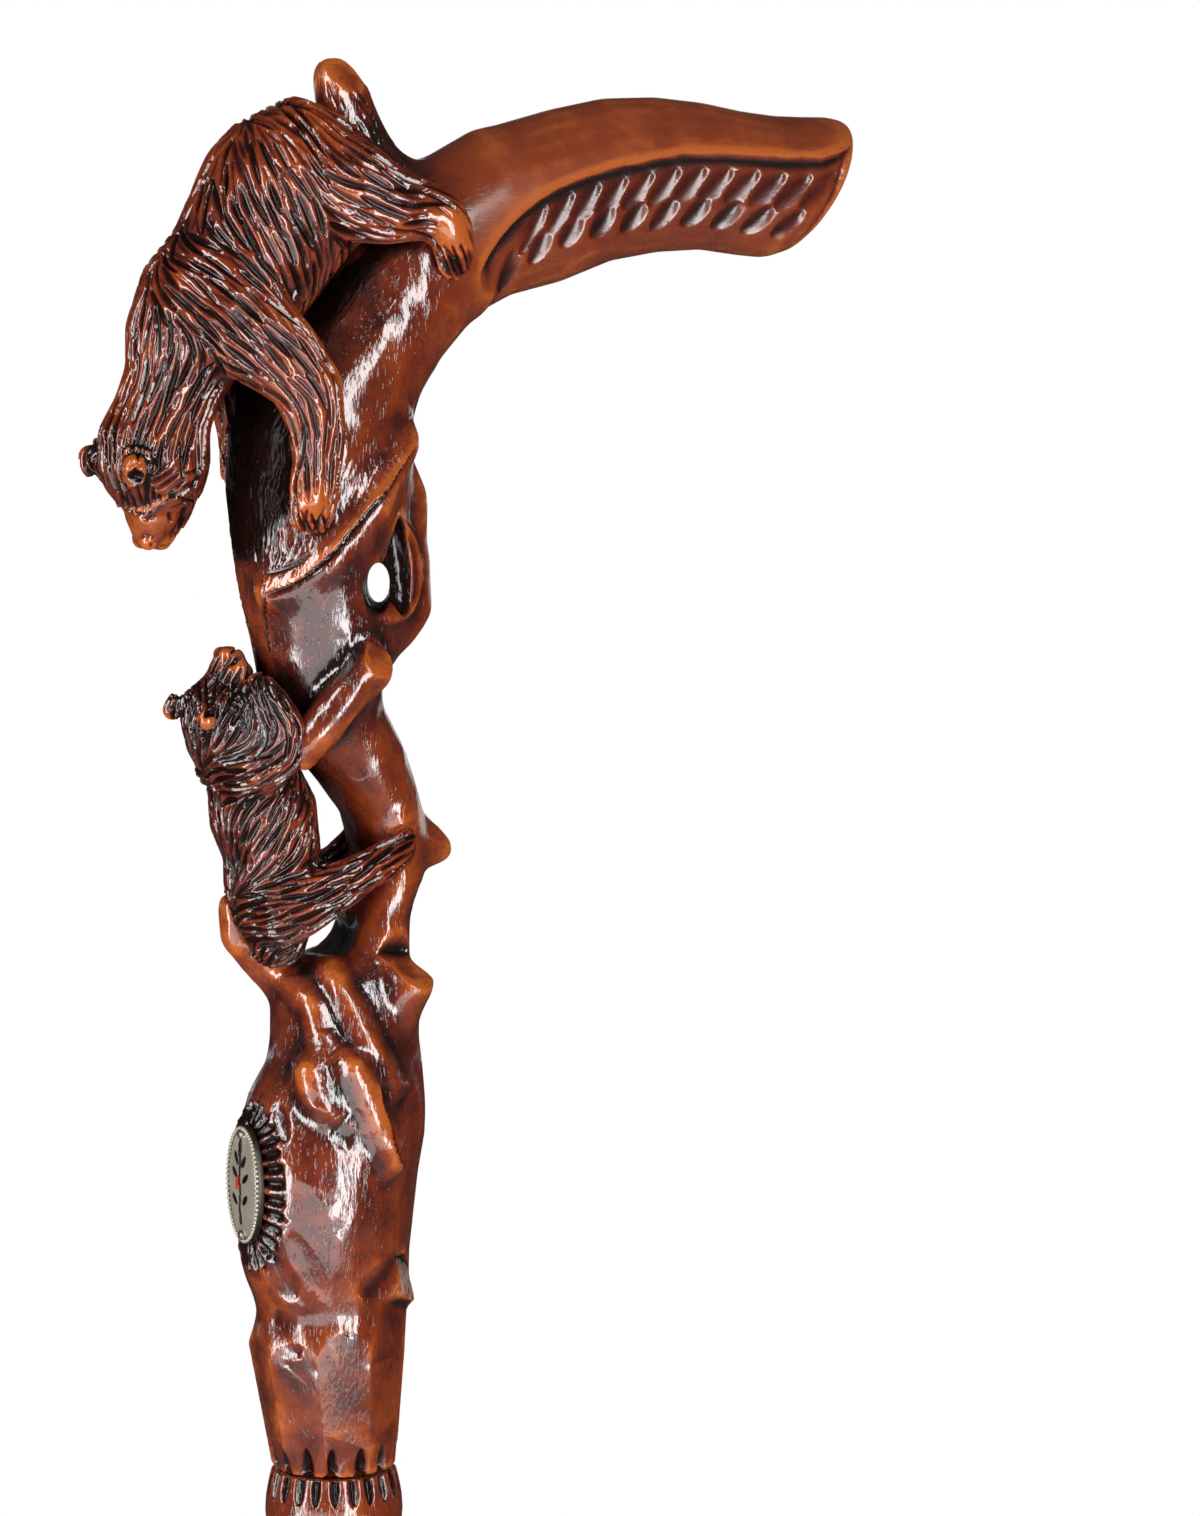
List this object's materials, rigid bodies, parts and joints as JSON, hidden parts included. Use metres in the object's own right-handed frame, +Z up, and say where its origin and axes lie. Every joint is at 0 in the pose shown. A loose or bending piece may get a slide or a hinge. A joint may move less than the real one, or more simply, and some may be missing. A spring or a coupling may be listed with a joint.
{
  "type": "carved walking cane",
  "caption": "Wooden walking cane with a head carved as a tree trunk with a climbing bear, her cub and a grip, on a fluted neck and a tapered shaft with a rubber ferrule.",
  "frame": {"origin": "centre of the ferrule's sole, where the cane meets the ground", "axes": "+Z up along the shaft, +X from the shaft towards the end of the grip, +Y across the grip"},
  "size_m": [0.1735, 0.0498, 0.9142],
  "materials": {
    "ferrule_rubber": "matte black moulded rubber",
    "steel": "plain zinc-plated steel, hidden inside",
    "insert_brass": "plain turned brass, hidden inside",
    "shaft_wood": "open-grained wood stained red-brown, glossy lacquer",
    "neck_wood": "turned and carved, red-brown stain, glossy lacquer",
    "trunk_wood": "carved, red-brown stain rubbed back on the edges, glossy lacquer",
    "grip_wood": "smooth orange-brown stain, glossy lacquer",
    "bear_wood": "carved fur, dark stain in the grooves, glossy lacquer",
    "cub_wood": "carved fur, darkest stain, glossy lacquer",
    "nickel": "antiqued nickel, dark in the recesses"
  },
  "bodies": {
    "handle": {"grip": "grip_wood", "trunk": "trunk_wood", "mother_bear": "bear_wood", "bear_cub": "cub_wood", "head_insert": "insert_brass", "medallion_plate": "nickel", "medallion_pin_upper": "nickel", "medallion_pin_lower": "nickel"},
    "stick": {"neck": "neck_wood", "shaft": "shaft_wood", "stud": "steel"},
    "tip": {"ferrule": "ferrule_rubber", "ferrule_washer": "steel"}
  },
  "joints": [
    {"name": "head_screw_joint", "type": "slide", "parent": "handle", "child": "stick", "axis": [0, 0, -1], "range_m": [0, 0.028]},
    {"name": "ferrule_pull", "type": "slide", "parent": "stick", "child": "tip", "axis": [0, 0, -1], "range_m": [0, 0.036]}
  ]
}
